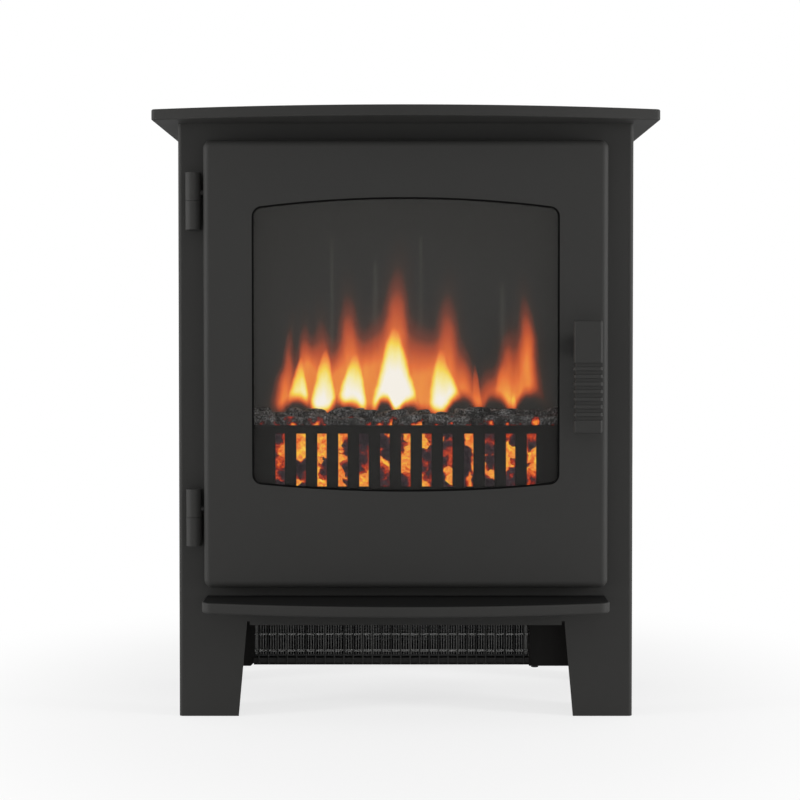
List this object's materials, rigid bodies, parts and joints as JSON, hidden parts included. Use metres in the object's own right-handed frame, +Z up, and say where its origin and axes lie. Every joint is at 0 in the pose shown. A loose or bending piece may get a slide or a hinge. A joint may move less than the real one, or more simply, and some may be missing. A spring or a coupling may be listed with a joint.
{
  "type": "electric fireplace",
  "caption": "Free-standing electric stove in matt charcoal steel with a hinged arched-window door, flame picture over glowing coals behind a grate, and a fan heater under the base.",
  "frame": {"origin": "on the floor under the middle of the stove's box", "axes": "+X to the right seen from the front, +Y towards the back, +Z up; the door faces -Y"},
  "size_m": [0.486, 0.238, 0.587],
  "materials": {
    "charcoal_paint": "matt",
    "black_paint": "matt",
    "zinc_sheet": "satin",
    "bright_steel": "satin",
    "black_screw": "satin",
    "clear_glass": "gloss",
    "screen_glass": "frosted",
    "ember_plastic": "matt",
    "charcoal_lump": "rough",
    "black_plastic": "matt",
    "rocker_plastic": "gloss",
    "white_plastic": "matt",
    "gasket_rubber": "matt",
    "bearing_brass": "satin",
    "fin_aluminium": "satin",
    "board_green": "matt"
  },
  "bodies": {
    "casing": {"top_plate": "charcoal_paint", "casing_screws": "bright_steel", "front_panel": "charcoal_paint", "left_side_panel": "charcoal_paint", "right_side_panel": "charcoal_paint", "body_roof": "black_paint", "base_pan": "black_paint", "back_panel": "charcoal_paint", "back_panel_screws": "black_screw", "hearth_plate": "charcoal_paint", "hearth_screws": "bright_steel", "left_cheek": "black_paint", "right_cheek": "black_paint", "firebox_roof": "black_paint", "firebox_floor": "black_paint", "grate": "black_paint", "grate_screws": "black_screw", "fuel_bed": "ember_plastic", "coals": "charcoal_lump", "flame_screen": "screen_glass", "screen_channels": "black_paint", "flame_mask": "black_paint", "spindle_bush": "white_plastic", "flicker_motor": "zinc_sheet", "ember_lamp_board": "board_green", "flame_lamp_board": "board_green", "fan_scroll": "zinc_sheet", "outlet_tongue": "zinc_sheet", "heater_left_plate": "black_paint", "heater_right_plate": "zinc_sheet", "fan_bush": "bearing_brass", "fan_motor": "zinc_sheet", "heating_element": "fin_aluminium", "thermal_cutout": "black_plastic", "outlet_guard": "black_paint", "motor_cover": "black_paint", "cover_bolts": "black_screw", "control_plate": "black_paint", "sheet_screws": "black_screw", "switch_bodies": "black_plastic", "terminal_block": "white_plastic", "cable_gland": "black_plastic", "body_hinge_knuckles": "charcoal_paint", "hinge_pins": "bright_steel", "magnet_catch": "zinc_sheet"},
    "door": {"door_casting": "charcoal_paint", "door_glass": "clear_glass", "glass_gasket": "gasket_rubber", "glass_retainer": "black_paint", "retainer_screws": "black_screw", "door_hinge_knuckles": "charcoal_paint"},
    "handle": {"door_handle": "charcoal_paint", "handle_spindle": "bright_steel", "latch_arm": "bright_steel", "spindle_nut": "bright_steel"},
    "light_switch": {"light_rocker": "rocker_plastic"},
    "low_heat_switch": {"low_heat_rocker": "rocker_plastic"},
    "high_heat_switch": {"high_heat_rocker": "rocker_plastic"},
    "fan": {"fan_rotor": "fin_aluminium"},
    "flicker": {"flicker_spindle": "fin_aluminium"}
  },
  "joints": [
    {"name": "door_swing", "type": "hinge", "parent": "casing", "child": "door", "pos_m": [-0.2047, -0.067, 0.3435], "axis": [0, 0, -1], "range_deg": [0, 110]},
    {"name": "handle_turn", "type": "hinge", "parent": "door", "child": "handle", "pos_m": [0.1724, -0.0775, 0.362], "axis": [0, -1, 0], "range_deg": [0, 90]},
    {"name": "light_rock", "type": "hinge", "parent": "casing", "child": "light_switch", "pos_m": [-0.034, -0.0607, 0.17], "axis": [-1, 0, 0], "range_deg": [0, 20]},
    {"name": "low_heat_rock", "type": "hinge", "parent": "casing", "child": "low_heat_switch", "pos_m": [0, -0.0607, 0.17], "axis": [-1, 0, 0], "range_deg": [0, 20]},
    {"name": "high_heat_rock", "type": "hinge", "parent": "casing", "child": "high_heat_switch", "pos_m": [0.034, -0.0607, 0.17], "axis": [-1, 0, 0], "range_deg": [0, 20]},
    {"name": "fan_spin", "type": "hinge", "parent": "casing", "child": "fan", "pos_m": [-0.0145, 0.012, 0.067], "axis": [1, 0, 0], "continuous": true},
    {"name": "flicker_spin", "type": "hinge", "parent": "casing", "child": "flicker", "pos_m": [0, 0.07, 0.255], "axis": [1, 0, 0], "continuous": true}
  ]
}
